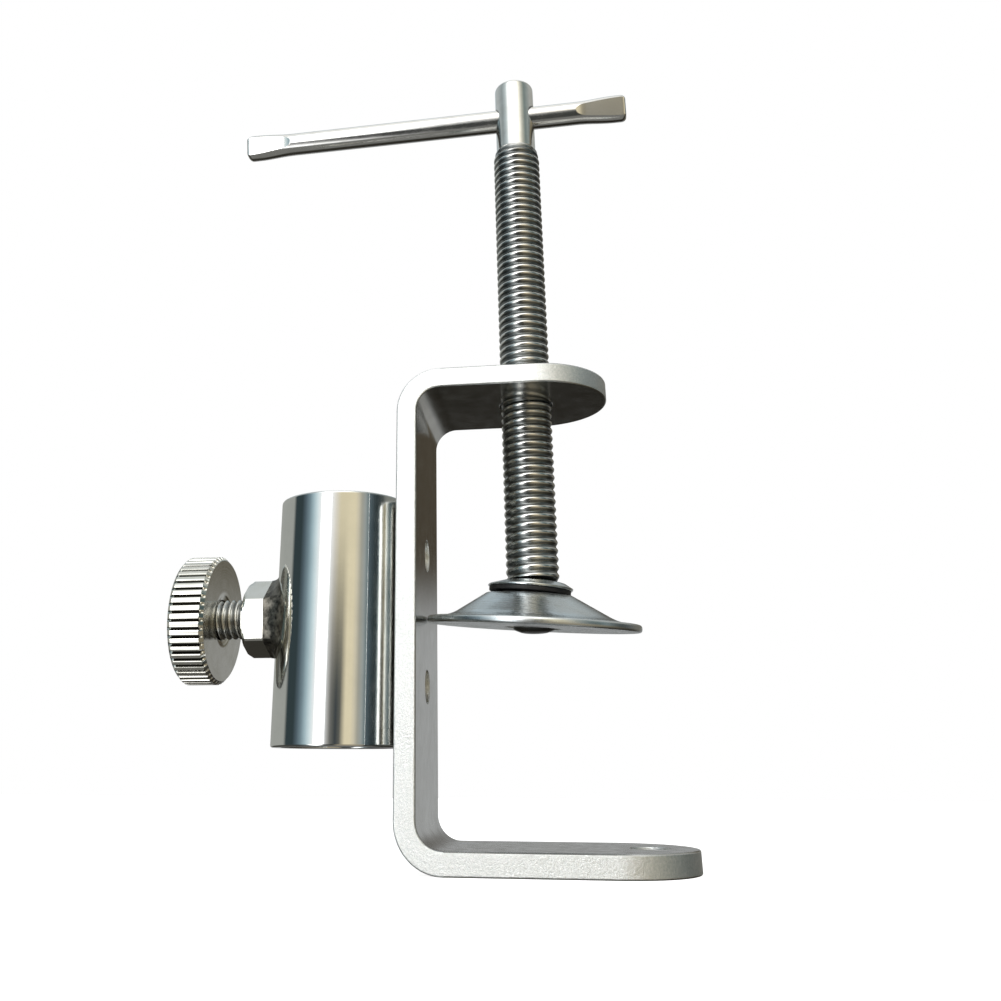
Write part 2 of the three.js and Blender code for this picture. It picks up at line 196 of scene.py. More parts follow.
bar_low, bar_high = box_mm("c_frame")
tube_low, tube_high = box_mm("socket_tube")
boss_low = box_mm("hex_boss")[0]
stud_low, stud_high = box_mm("thumbscrew_stud")
knob_low, knob_high = box_mm("thumbscrew_knob")

HALF_WIDTH = (bar_high[1] - bar_low[1]) / 2
JAW_THICKNESS = -bar_low[2]
JAW_OPENING = bar_high[2] - JAW_THICKNESS
LOWER_REACH = bar_high[0]
OUTER_X = bar_low[0]
INNER_X = OUTER_X + JAW_THICKNESS
TUBE_X = (tube_low[0] + tube_high[0]) / 2
TUBE_RADIUS = (tube_high[1] - tube_low[1]) / 2
TUBE_BOTTOM, TUBE_TOP = tube_low[2], tube_high[2]
THUMB_HEIGHT = JOINTS["thumbscrew_turn"]["pos_m"][2] / MM
PIVOT = JOINTS["pad_side_tilt"]["pos_m"][2] / MM
tommy_low, tommy_high = box_mm("tommy_bar")
TOMMY_HEIGHT = (tommy_low[2] + tommy_high[2]) / 2
TOMMY_TURN = math.atan2(*JOINTS["tommy_bar_slide"]["axis"][1::-1])
PLUG_HEIGHTS = [sum(box_mm(node)[i][2] for i in (0, 1)) / 2
                for node in ("lower_plug_weld", "upper_plug_weld")]


# ---- Mesh helpers ----

def smooth(t):
    t = np.clip(t, 0, 1)
    return t * t * (3 - 2 * t)


def mesh_piece(name, verts, faces):
    """A mesh object from millimetre points, with its faces turned outwards."""
    mesh = bpy.data.meshes.new(name)
    mesh.from_pydata([tuple(v) for v in np.asarray(verts) * MM], [], faces)
    body = bmesh.new()
    body.from_mesh(mesh)
    bmesh.ops.remove_doubles(body, verts=body.verts, dist=0.002 * MM)
    bmesh.ops.dissolve_degenerate(body, edges=body.edges, dist=0.001 * MM)
    bmesh.ops.recalc_face_normals(body, faces=body.faces)
    body.to_mesh(mesh)
    body.free()
    piece = bpy.data.objects.new(name, mesh)
    bpy.context.scene.collection.objects.link(piece)
    return piece


def sweep(name, rings, ring_closed=False, capped=True):
    """Joins rings of points. The first and last rings are capped, unless they join or close up."""
    rings = np.asarray(rings, float)
    count, sides = rings.shape[:2]
    verts = list(rings.reshape(-1, 3))
    faces = []
    for i in range(count if ring_closed else count - 1):
        a, b = i * sides, (i + 1) % count * sides
        for j in range(sides):
            k = (j + 1) % sides
            faces.append((a + j, a + k, b + k, b + j))
    if capped and not ring_closed:
        for start in (0, (count - 1) * sides):
            centre = len(verts)
            verts.append(np.mean(rings[start // sides], axis=0))
            for j in range(sides):
                faces.append((start + j, start + (j + 1) % sides, centre))
    return mesh_piece(name, verts, faces)


def rounded(points, radius, steps=4):
    """A polyline with its inner corners rounded."""
    points = [np.array(p, float) for p in points]
    out = [points[0]]
    for before, here, after in zip(points, points[1:], points[2:]):
        a, b = before - here, after - here
        reach = min(radius, 0.45 * np.linalg.norm(a), 0.45 * np.linalg.norm(b))
        start = here + a / np.linalg.norm(a) * reach
        end = here + b / np.linalg.norm(b) * reach
        for i in range(steps + 1):
            t = i / steps
            out.append((1 - t) ** 2 * start + 2 * t * (1 - t) * here + t * t * end)
    return out + [points[-1]]


def soft_corners(points, radii, steps=7):
    """A polyline whose inner corners are rounded, each by its own reach."""
    out = [np.array(points[0], float)]
    for i, reach in enumerate(radii):
        out += rounded(points[i:i + 3], reach, steps)[1:-1]
    return out + [np.array(points[-1], float)]


def lathe(name, profile, sides=96, ring_closed=False):
    """A turned shape about +Z. The profile lists [radius, height]."""
    angles = np.arange(sides) / sides * TURN
    rings = [np.stack([r * np.cos(angles), r * np.sin(angles), np.full(sides, h)], 1)
             for r, h in profile]
    return sweep(name, rings, ring_closed)


def zone(radius, first, last, steps=10):
    """Points [radius, height] on a ball's outline between two heights."""
    angles = np.linspace(math.asin(first / radius), math.asin(last / radius), steps + 1)
    return [[radius * math.cos(a), radius * math.sin(a)] for a in angles]


def place(piece, rotation=(0, 0, 0), offset=(0, 0, 0), order="XYZ"):
    """Turns and moves the mesh itself."""
    turn = Euler(rotation, order).to_matrix().to_4x4()
    piece.data.transform(Matrix.Translation(Vector(offset) * MM) @ turn)
    return piece


def along_x(piece, height):
    """Lays a shape made along +Z on the line along +X at this height."""
    return place(piece, (0, math.pi / 2, 0), (0, 0, height))


def carve(piece, cutters):
    """Cuts the cutters out of the piece and keeps the result as a plain mesh."""
    for cutter in cutters:
        cut = piece.modifiers.new("cut", "BOOLEAN")
        cut.operation = "DIFFERENCE"
        cut.solver = "MANIFOLD"
        cut.object = cutter
    bpy.context.view_layer.update()
    shown = piece.evaluated_get(bpy.context.evaluated_depsgraph_get())
    mesh = bpy.data.meshes.new_from_object(shown)
    piece.modifiers.clear()
    piece.data = mesh
    for cutter in cutters:
        bpy.data.objects.remove(cutter)
    return piece


def flared_cutter(radius, bottom, top, flare=HOLE_FLARE, sides=64):
    """A cutter for a hole from z = bottom to z = top whose two lips are rounded."""
    arc = [(flare * (1 - math.sin(a)), flare * (1 - math.cos(a)))
           for a in np.linspace(0, math.pi / 2, 3)]
    profile = [[radius + flare, bottom - 1]]
    profile += [[radius + out, bottom + depth] for out, depth in arc]
    profile += [[radius + out, top - depth] for out, depth in reversed(arc)]
    profile += [[radius + flare, top + 1]]
    return lathe("cutter", profile, sides)


def finish_piece(piece, node, body, material, sharp=35):
    """Without a node it replaces none."""
    mesh = piece.data
    mesh.materials.clear()
    mesh.materials.append(material)
    mesh.shade_smooth()
    mesh.set_sharp_from_angle(angle=math.radians(sharp))
    weighted = piece.modifiers.new("even_shading", "WEIGHTED_NORMAL")
    weighted.keep_sharp = True
    weighted.weight = 50
    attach(piece, body)
    if node:
        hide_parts(node)
    return piece


# ---- Material helpers ----

class Finish:
    """A Principled material being built from nodes, on object coordinates in millimetres."""

    def __init__(self, name, metallic=1.0, **fixed):
        self.material = bpy.data.materials.new(name)
        self.material.use_nodes = True
        self.tree = self.material.node_tree
        self.shader = self.tree.nodes["Principled BSDF"]
        self.shader.inputs["Metallic"].default_value = metallic
        for socket, value in fixed.items():
            self.shader.inputs[socket.replace("_", " ")].default_value = value
        place = self.node("ShaderNodeTexCoord").outputs["Object"]
        scaled = self.node("ShaderNodeVectorMath", operation="SCALE")
        scaled.inputs["Scale"].default_value = 1 / MM
        self.link(place, scaled.inputs[0])
        self.point = scaled.outputs[0]

    def node(self, kind, **settings):
        made = self.tree.nodes.new(kind)
        for key, value in settings.items():
            setattr(made, key, value)
        return made

    def link(self, source, target):
        self.tree.links.new(source, target)

    def noise(self, scale, detail=3, roughness=0.55, stretch=(1, 1, 1), point=None):
        """Noise with this many features a millimetre, from 0 to 1."""
        mapping = self.node("ShaderNodeMapping")
        mapping.inputs["Scale"].default_value = stretch
        self.link(point or self.point, mapping.inputs["Vector"])
        made = self.node("ShaderNodeTexNoise")
        made.inputs["Scale"].default_value = scale
        made.inputs["Detail"].default_value = detail
        made.inputs["Roughness"].default_value = roughness
        self.link(mapping.outputs[0], made.inputs["Vector"])
        return made.outputs["Fac"]

    def range(self, value, low, high, new_low, new_high, smooth_step=False):
        made = self.node("ShaderNodeMapRange")
        if smooth_step:
            made.interpolation_type = "SMOOTHSTEP"
        for socket, number in zip(("From Min", "From Max", "To Min", "To Max"),
                                  (low, high, new_low, new_high)):
            made.inputs[socket].default_value = number
        self.link(value, made.inputs["Value"])
        return made.outputs["Result"]

    def math(self, operation, a, b=None):
        made = self.node("ShaderNodeMath", operation=operation)
        for socket, value in zip(made.inputs, (a, b)):
            if value is None:
                continue
            if isinstance(value, (int, float)):
                socket.default_value = value
            else:
                self.link(value, socket)
        return made.outputs[0]

    def mix(self, factor, first, second):
        made = self.node("ShaderNodeMix", data_type="RGBA")
        self.link(factor, made.inputs["Factor"])
        for socket, value in ((made.inputs[6], first), (made.inputs[7], second)):
            if isinstance(value, tuple):
                socket.default_value = (*value, 1)
            else:
                self.link(value, socket)
        return made.outputs[2]

    def axis(self, letter, centre=0.0):
        apart = self.node("ShaderNodeSeparateXYZ")
        self.link(self.point, apart.inputs[0])
        value = apart.outputs["XYZ".index(letter)]
        return self.math("SUBTRACT", value, centre) if centre else value

    def radius_about(self, first, second, centre=(0, 0)):
        """Distance from an axis line, from the two coordinates across it."""
        a = self.axis(first, centre[0])
        b = self.axis(second, centre[1])
        squared = self.math("ADD", self.math("MULTIPLY", a, a), self.math("MULTIPLY", b, b))
        return self.math("SQRT", squared)

    def bump(self, height, strength, distance):
        made = self.node("ShaderNodeBump")
        made.inputs["Strength"].default_value = strength
        made.inputs["Distance"].default_value = distance * MM
        self.link(height, made.inputs["Height"])
        if self.shader.inputs["Normal"].is_linked:
            self.link(self.shader.inputs["Normal"].links[0].from_socket, made.inputs["Normal"])
        self.link(made.outputs[0], self.shader.inputs["Normal"])

    def set(self, socket, value):
        self.link(value, self.shader.inputs[socket])


def satin_plate():
    """Plated bar: sheared edges with a bright sandy grain, and smoother rolled faces between them."""
    m = Finish("satin_plate")
    normal = m.node("ShaderNodeSeparateXYZ")
    m.link(m.node("ShaderNodeTexCoord").outputs["Normal"], normal.inputs[0])
    beside = m.math("SUBTRACT", 1, m.math("ABSOLUTE", normal.outputs["Y"]))
    level = m.math("ABSOLUTE", normal.outputs["Z"])
    jaw = m.range(m.axis("X"), INNER_X + INNER_BEND, INNER_X + INNER_BEND + 0.2, 0, 1)
    edge = m.math("SUBTRACT", 1, m.math("ADD", m.math("MULTIPLY", jaw, level),
                                        m.math("MULTIPLY", m.math("SUBTRACT", 1, jaw), beside)))
    edge = m.range(edge, 0.35, 0.7, 0, 1, True)
    grain = m.noise(3.1, 4, 0.8)
    rolled = m.noise(0.5, 4, 0.6)
    cloud = m.noise(0.16, 3)
    bright = m.mix(m.range(grain, 0.36, 0.66, 0, 1), (0.78, 0.81, 0.81), (1.0, 1.0, 1.0))
    broad = m.mix(m.range(cloud, 0.35, 0.7, 0, 1), (0.62, 0.62, 0.60), (0.72, 0.72, 0.70))
    m.set("Base Color", m.mix(edge, broad, bright))
    sandy = m.range(grain, 0.3, 0.75, 0.3, 0.5)
    smooth_face = m.range(rolled, 0.3, 0.7, 0.13, 0.22)
    rough = m.node("ShaderNodeMix", data_type="FLOAT")
    m.link(edge, rough.inputs["Factor"])
    m.link(smooth_face, rough.inputs[2])
    m.link(sandy, rough.inputs[3])
    m.set("Roughness", rough.outputs[0])
    m.bump(m.math("MULTIPLY", grain, edge), 0.6, 0.14)
    m.bump(rolled, 0.06, 0.1)
    return m.material


def mirror_chrome():
    """Bright chrome with faint drawing lines along the tube and finger marks."""
    m = Finish("mirror_chrome")
    smudge = m.noise(0.22, 4, 0.6)
    lines = m.noise(2.4, 2, 0.5, stretch=(1, 1, 0.02))
    m.set("Base Color", m.mix(m.range(smudge, 0.4, 0.75, 0, 1), (0.86, 0.87, 0.86), (0.80, 0.81, 0.80)))
    m.set("Roughness", m.range(smudge, 0.45, 0.8, 0.045, 0.11))
    m.bump(lines, 0.025, 0.02)
    m.bump(m.noise(3.2, 3, 0.7), 0.05, 0.02)
    return m.material


def bright_nickel(name, root=None, crest=None, across=("X", "Y"), centre=(0, 0), warm=0.0, top=None):
    """Bright nickel. Between the root and crest radii it darkens: painted shade in the thread's roots."""
    m = Finish(name)
    cloud = m.noise(0.45, 3)
    fine = m.noise(7, 3, 0.6)
    light = (0.83, 0.83 - 0.01 * warm, 0.81 - 0.04 * warm)
    dull = (0.74, 0.73, 0.70 - 0.04 * warm)
    colour = m.mix(m.range(cloud, 0.35, 0.75, 0, 1), light, dull)
    rough = m.range(cloud, 0.3, 0.8, 0.1, 0.2)
    if root:
        depth = m.range(m.radius_about(*across, centre), root, crest, 1, 0, True)
        if top:
            depth = m.math("MULTIPLY", depth, m.range(m.axis("Z"), top - 0.3, top + 0.3, 1, 0))
        # Painted shade: the thread's roots are darkened towards near black, a little unevenly.
        root_shade = m.math("MULTIPLY", depth, m.range(cloud, 0.2, 0.7, 0.75, 0.95))
        colour = m.mix(root_shade, colour, (0.10, 0.11, 0.11))
        rough = m.math("ADD", rough, m.math("MULTIPLY", depth, 0.15))
    m.set("Base Color", colour)
    m.set("Roughness", rough)
    m.bump(fine, 0.05, 0.02)
    return m.material


def turned_nickel(name, height, rim, outer, inner):
    """The knob: bright nickel with painted shade in its flutes, and fine turning rings on its faces."""
    m = Finish(name)
    cloud = m.noise(0.5, 3)
    rings = m.node("ShaderNodeTexNoise", noise_dimensions="1D")
    rings.inputs["Scale"].default_value = 3.5
    rings.inputs["Detail"].default_value = 5
    m.link(m.radius_about("Y", "Z", (0, height)), rings.inputs["W"])
    metal = m.mix(m.range(cloud, 0.35, 0.75, 0, 1), (0.8, 0.79, 0.74), (0.68, 0.67, 0.6))
    # Painted shade: below the rim and between the chamfers, the flutes are coloured near black.
    sunk = m.range(m.radius_about("Y", "Z", (0, height)), rim - 0.3, rim - 0.08, 1, 0, True)
    side = m.math("MULTIPLY", m.range(m.axis("X"), outer, outer + 0.1, 0, 1),
                  m.range(m.axis("X"), inner - 0.1, inner, 1, 0))
    m.set("Base Color", m.mix(m.math("MULTIPLY", sunk, side), metal, (0.05, 0.048, 0.04)))
    m.set("Roughness", m.range(rings.outputs["Fac"], 0.3, 0.7, 0.1, 0.2))
    m.bump(rings.outputs["Fac"], 0.14, 0.04)
    return m.material


def turned_steel(name, centre, tilt):
    """Turned and plated, with faint lathe rings about the pad's own tilted axis."""
    m = Finish(name)
    shift = m.node("ShaderNodeVectorMath", operation="SUBTRACT")
    shift.inputs[1].default_value = centre
    m.link(m.point, shift.inputs[0])
    spin = m.node("ShaderNodeVectorRotate", rotation_type="EULER_XYZ", invert=True)
    spin.inputs["Rotation"].default_value = (tilt[0], tilt[1], 0)
    m.link(shift.outputs[0], spin.inputs["Vector"])
    m.point = spin.outputs[0]
    radius = m.radius_about("X", "Y")
    rings = m.node("ShaderNodeTexNoise", noise_dimensions="1D")
    rings.inputs["Scale"].default_value = 4.5
    rings.inputs["Detail"].default_value = 4
    m.link(radius, rings.inputs["W"])
    wear = m.noise(0.3, 4, 0.6)
    m.set("Base Color", m.mix(m.range(wear, 0.4, 0.75, 0, 1), (0.80, 0.84, 0.86), (0.70, 0.71, 0.70)))
    m.set("Roughness", m.math("ADD", m.range(rings.outputs["Fac"], 0.3, 0.7, 0.16, 0.28),
                              m.range(wear, 0.4, 0.8, 0, 0.08)))
    m.bump(rings.outputs["Fac"], 0.22, 0.04)
    return m.material


def near_black_ring():
    """Near black and rough, a little lighter in blotches."""
    m = Finish("near_black_ring", metallic=0.0)
    ring_blotch = m.noise(1.4, 4, 0.6)
    m.set("Base Color", m.mix(m.range(ring_blotch, 0.45, 0.8, 0, 1), (0.008, 0.008, 0.009), (0.03, 0.029, 0.027)))
    m.set("Roughness", m.range(ring_blotch, 0.3, 0.8, 0.45, 0.7))
    m.bump(ring_blotch, 0.15, 0.06)
    return m.material


def seat_shade_steel():
    """The ball seat: steel painted near black, as the shade inside the gap under the collar, blotchy in tone.
    """
    m = Finish("seat_shade_steel", metallic=0.6)
    seat_blotch = m.noise(1.2, 4, 0.6)
    # Painted shade: the seat is coloured near black for the shade in the gap.
    m.set("Base Color", m.mix(m.range(seat_blotch, 0.4, 0.7, 0, 1), (0.02, 0.021, 0.022), (0.06, 0.055, 0.045)))
    m.set("Roughness", m.range(seat_blotch, 0.3, 0.7, 0.25, 0.5))
    m.bump(seat_blotch, 0.2, 0.1)
    return m.material


def seam_shade_finish():
    """The seam at the boss's foot: unpolished, painted dark as the shade in the crevice between boss and
    tube, blotchy in tone.
    """
    m = Finish("seam_shade_finish", metallic=0.9)
    seam_blotch = m.noise(0.9, 4, 0.65)
    # Painted shade: the seam is coloured dark for the crevice's shade, lighter in blotches.
    m.set("Base Color", m.mix(m.range(seam_blotch, 0.4, 0.7, 0, 1), (0.05, 0.047, 0.04), (0.3, 0.28, 0.24)))
    m.set("Roughness", m.range(seam_blotch, 0.3, 0.8, 0.25, 0.45))
    m.bump(seam_blotch, 0.4, 0.15)
    return m.material


def weld_metal():
    """Plated weld metal: solidification ripples and a few pits."""
    m = Finish("weld_metal")
    ripple = m.noise(1.1, 3, 0.6)
    m.set("Base Color", m.mix(m.range(ripple, 0.35, 0.7, 0, 1), (0.5, 0.48, 0.43), (0.8, 0.78, 0.72)))
    m.set("Roughness", m.range(ripple, 0.3, 0.8, 0.2, 0.42))
    m.bump(ripple, 0.5, 0.25)
    return m.material


# ---- Pieces ----

def bar_line():
    """The bar's middle line in the XZ plane as stations: (x, z, direction, distance)."""
    middle = INNER_BEND + JAW_THICKNESS / 2
    bend_x = INNER_X + INNER_BEND
    low, high = -JAW_THICKNESS / 2, JAW_OPENING + JAW_THICKNESS / 2
    tip = HALF_WIDTH * (1 - np.cos(np.linspace(0, math.pi / 2, 28)))
    stations = [(LOWER_REACH - t, low, math.pi) for t in tip]
    stations += [(x, low, math.pi) for x in np.linspace(LOWER_REACH - HALF_WIDTH, bend_x, 12)[1:]]
    for a in np.linspace(0, math.pi / 2, 15)[1:]:
        stations.append((bend_x - middle * math.sin(a), INNER_BEND - middle * math.cos(a), math.pi - a))
    top_bend = JAW_OPENING - INNER_BEND
    stations += [(INNER_X - JAW_THICKNESS / 2, z, math.pi / 2)
                 for z in np.linspace(INNER_BEND, top_bend, 24)[1:]]
    for a in np.linspace(0, math.pi / 2, 15)[1:]:
        stations.append((bend_x - middle * math.cos(a), top_bend + middle * math.sin(a), math.pi / 2 - a))
    straight = UPPER_REACH - HALF_WIDTH
    stations += [(x, high, 0.0) for x in np.linspace(bend_x, straight, 8)[1:]]
    stations += [(UPPER_REACH - t, high, 0.0) for t in tip[::-1][1:]]
    return stations


def bent_bar():
    """A flat bar with rounded edges and half-round ends, swept along its bent middle line."""
    stations = bar_line()
    xs = np.array([s[:2] for s in stations])
    lengths = np.concatenate([[0], np.cumsum(np.linalg.norm(np.diff(xs, axis=0), axis=1))])
    total = lengths[-1]
    corner = [(EDGE_ROUND * (1 - math.cos(a)), EDGE_ROUND * (1 - math.sin(a)))
              for a in np.linspace(math.pi / 2, 0, 6)]
    half = JAW_THICKNESS / 2
    section = [(inset, half - depth) for inset, depth in corner]
    section += [(inset, -half + depth) for inset, depth in reversed(corner)]
    columns = [(1, inset, height) for inset, height in section]
    columns += [(-1, inset, height) for inset, height in reversed(section)]
    rings = []
    for (x, z, heading), s in zip(stations, lengths):
        along = np.array([math.cos(heading), 0, math.sin(heading)])
        outward = np.array([-math.sin(heading), 0, math.cos(heading)])
        ring = []
        for side, inset, height in columns:
            radius = HALF_WIDTH - inset
            near = min(s, total - s)
            sign = 1 if s < total / 2 else -1
            reach = HALF_WIDTH - near
            if reach > 0:
                share = min(reach / HALF_WIDTH, 1)
                y = radius * math.sqrt(max(1 - share * share, 0))
                shift = sign * (reach - radius * share)
            else:
                y, shift = radius, 0
            ring.append(np.array([x, 0, z]) + along * shift + outward * height + np.array([0, side * y, 0]))
        rings.append(ring)
    piece = sweep("c_frame_bar", rings, capped=False)
    holes = [
        place(flared_cutter(SCREW_HOLE, 0, JAW_THICKNESS), offset=(0, 0, JAW_OPENING)),
        place(flared_cutter(JAW_HOLE, -JAW_THICKNESS, 0), offset=(JAW_HOLE_X, 0, 0)),
    ]
    for height in PLUG_HEIGHTS:
        cutter = place(flared_cutter(PLUG_HOLE, 0, JAW_THICKNESS), (0, math.pi / 2, 0))
        holes.append(place(cutter, offset=(OUTER_X, 0, height)))
    return carve(piece, holes)


def socket_tube():
    bore = TUBE_RADIUS - TUBE_WALL
    corners = [[bore, (TUBE_BOTTOM + TUBE_TOP) / 2], [bore, TUBE_BOTTOM], [TUBE_RADIUS, TUBE_BOTTOM],
               [TUBE_RADIUS, TUBE_TOP], [bore, TUBE_TOP], [bore, (TUBE_BOTTOM + TUBE_TOP) / 2]]
    profile = rounded(corners, RIM_ROUND, 6)[:-1]
    tube = place(lathe("socket_tube_shell", profile, 224, ring_closed=True), offset=(TUBE_X, 0, 0))
    hole = lathe("cutter", [[BOSS_BORE, -3], [BOSS_BORE, 3]], 48)
    return carve(tube, [place(along_x(hole, THUMB_HEIGHT), offset=(TUBE_X - TUBE_RADIUS, 0, 0))])


def plug_weld(name, height, seed):
    """A weld puddle in a hole of the upright, a little uneven and below the surface."""
    radius = PLUG_HOLE - 0.12
    rng = np.random.default_rng(seed)
    waves = [(rng.integers(1, 4), rng.uniform(0, TURN), rng.uniform(0.03, 0.08)) for _ in range(4)]
    sides = 40
    angles = np.arange(sides) / sides * TURN
    edge_depth, middle_depth, dishing = 0.8, 0.4, 0.25
    rings = []
    for r, level in [(radius, 0.0), (radius, JAW_THICKNESS - edge_depth)]:
        rings.append(np.stack([np.full(sides, level), r * np.cos(angles), r * np.sin(angles)], 1))
    for share in np.linspace(0.94, 0.06, 12):
        wave = sum(size * np.sin(n * angles + phase) for n, phase, size in waves)
        level = JAW_THICKNESS - middle_depth - dishing * share ** 3 + wave * (1 - share) * share * 3
        level = np.minimum(level, JAW_THICKNESS - PLUG_SUNK)
        rings.append(np.stack([level, radius * share * np.cos(angles), radius * share * np.sin(angles)], 1))
    return place(sweep(name, rings), offset=(OUTER_X, 0, height))


def hexagon_radius(angles):
    sector = math.pi / 3
    folded = (angles - BOSS_TURN + sector / 2) % sector - sector / 2
    return np.minimum(BOSS_FLATS / 2 / np.cos(folded), BOSS_CORNER)


def hexagon_angles():
    """Angles about +X. They include each flat's ends and its turned corner."""
    half_flat = math.acos(BOSS_FLATS / 2 / BOSS_CORNER)
    one = np.concatenate([np.linspace(-half_flat, half_flat, 9),
                          half_flat + np.linspace(0, math.pi / 3 - 2 * half_flat, 5)[1:-1]])
    return np.concatenate([one + BOSS_TURN + i * math.pi / 3 for i in range(6)])


def tube_face(y):
    """Where the tube's surface lies at a distance y from its middle plane."""
    return TUBE_X - np.sqrt(np.maximum(TUBE_RADIUS ** 2 - y ** 2, 0))


def about_x(radius, x, angles):
    """A ring about the thumbscrew's line."""
    radius, x = np.broadcast_to(radius, angles.shape), np.broadcast_to(x, angles.shape)
    return np.stack([x, radius * np.cos(angles), THUMB_HEIGHT + radius * np.sin(angles)], 1)


def hex_boss():
    angles = hexagon_angles()
    hexagon = hexagon_radius(angles)
    face = boss_low[0]
    turned, slope_start, slope_rise = 1.4, 0.12, 0.9
    rings = []
    foot = tube_face(hexagon * np.cos(angles)) - FIT_GAP
    for depth in (0, 0.06, 0.18, 0.32, 0.48, 0.66, 0.86, 1.1, turned):
        slope = BOSS_FLATS / 2 + slope_start + depth * slope_rise
        lip = 0.1 * max(1 - depth / 0.06, 0)
        rings.append(about_x(np.minimum(hexagon, slope) - lip, face + depth, angles))
    for share in np.linspace(0.15, 1, 8):
        rings.append(about_x(hexagon, face + turned + (foot - face - turned) * share, angles))
    inner = tube_face(BOSS_BORE * np.cos(angles)) - FIT_GAP
    rings.append(about_x(BOSS_BORE + FIT_GAP, inner, angles))
    rings.append(about_x(BOSS_BORE + FIT_GAP, face + 0.4, angles))
    rings.append(about_x(BOSS_BORE + 0.35, face + 0.06, angles))
    rings.append(about_x(BOSS_BORE + 0.5, face, angles))
    return sweep("hex_boss_body", rings, ring_closed=True)


def boss_weld():
    """A concave fillet from the hexagon's foot out onto the tube, with small ripples."""
    angles = hexagon_angles()
    hexagon = hexagon_radius(angles) + 0.05
    rings = []
    top = tube_low[0] - WELD_HEIGHT
    ripple = 0.05 * np.sin(19 * angles) + 0.04 * np.sin(11 * angles + 1.3)
    for t in np.linspace(0, 1, 12):
        radius = hexagon + (WELD_FOOT - hexagon) * t ** 2 + ripple * t
        foot = tube_face(radius * np.cos(angles)) - FIT_GAP
        start = np.minimum(top, foot - 0.1)
        x = start + (foot - start) * (1 - (1 - t) ** 1.6)
        rings.append(about_x(radius, x, angles))
    rings.append(about_x(hexagon, tube_face(hexagon * np.cos(angles)) - FIT_GAP, angles))
    return sweep("boss_weld_fillet", rings, ring_closed=True)


def thread_profile(phase):
    """Ridge height from 0 to 1 over one pitch: a wave whose crest is a little wider than its root."""
    wave = 0.5 + 0.5 * np.cos((phase + 0.5) * TURN)
    return wave ** CREST_WIDTH


def threaded(name, parts, crest, root, pitch, first, last, sides, rows):
    """A shaft along +Z: plain stretches below and above a helical thread from first to last."""
    below, above = parts
    angles = np.arange(sides) / sides * TURN
    flat = lambda r, h: np.stack([r * np.cos(angles), r * np.sin(angles), np.full(sides, h)], 1)
    rings = [flat(r, h) for r, h in below]
    for z in np.linspace(first, last, int((last - first) / pitch * rows)):
        fade = smooth((z - first) / (RUN_IN * pitch)) * smooth((last - z) / (RUN_OUT * pitch))
        ridge = thread_profile((z - first) / pitch - angles / TURN)
        radius = root + (crest - root) * ridge * fade
        rings.append(np.stack([radius * np.cos(angles), radius * np.sin(angles), np.full(sides, z)], 1))
    rings += [flat(r, h) for r, h in above]
    return sweep(name, rings)


def clamp_screw():
    thread_bottom = PIVOT + THREAD_END
    thread_top = thread_bottom + SCREW_TURNS * SCREW_PITCH
    top = HEAD_TOP
    below = [[0.4, PEEN_BOTTOM], [2.0, PEEN_BOTTOM + 0.12], [PEEN_RADIUS - 0.25, PEEN_EDGE - 0.15],
             [PEEN_RADIUS, PEEN_EDGE], [PEEN_RADIUS, PEEN_TOP], [TAIL_RADIUS, PEEN_TOP],
             [TAIL_RADIUS, NECK_BOTTOM], [NECK_RADIUS - 0.2, NECK_BOTTOM], [NECK_RADIUS, NECK_BOTTOM + 0.2],
             [NECK_RADIUS, THREAD_END - 0.2], [SCREW_ROOT, THREAD_END]]
    below = [[r, PIVOT + h] for r, h in rounded(below, 0.2, 3)]
    above = [[SCREW_ROOT - 0.15, thread_top + 0.3], [HEAD_RADIUS, thread_top + 0.5], [HEAD_RADIUS, top - 1.6]]
    for a in np.linspace(0, math.pi / 2, 8):
        above.append([HEAD_RADIUS - HEAD_ROUND * (1 - math.cos(a)), top - HEAD_ROUND * (1 - math.sin(a))])
    above.append([1.2, top])
    screw = threaded("clamp_screw_shaft", (below, above), SCREW_CREST, SCREW_ROOT, SCREW_PITCH,
                     thread_bottom, thread_top, 64, 14)
    reach = HEAD_RADIUS
    hole = flared_cutter(CROSS_HOLE, -reach, reach, 0.3, 48)
    hole = place(hole, (0, math.pi / 2, 0))
    return carve(screw, [place(hole, (0, 0, TOMMY_TURN), (0, 0, TOMMY_HEIGHT))])


def thumbscrew_stud():
    first, last = stud_low[0], stud_high[0]
    plain = knob_high[0] - 0.5
    below = [[1.0, first], [STUD_ROOT, first], [STUD_ROOT, plain]]
    tip = last - STUD_TIP
    above = [[STUD_ROOT, tip], [STUD_ROOT - 0.5, last], [0.6, last]]
    stud = threaded("thumbscrew_stud_shaft", (below, above), STUD_CREST, STUD_ROOT, STUD_PITCH,
                    plain + 0.05, tip - 0.05, 56, 16)
    return along_x(stud, THUMB_HEIGHT)


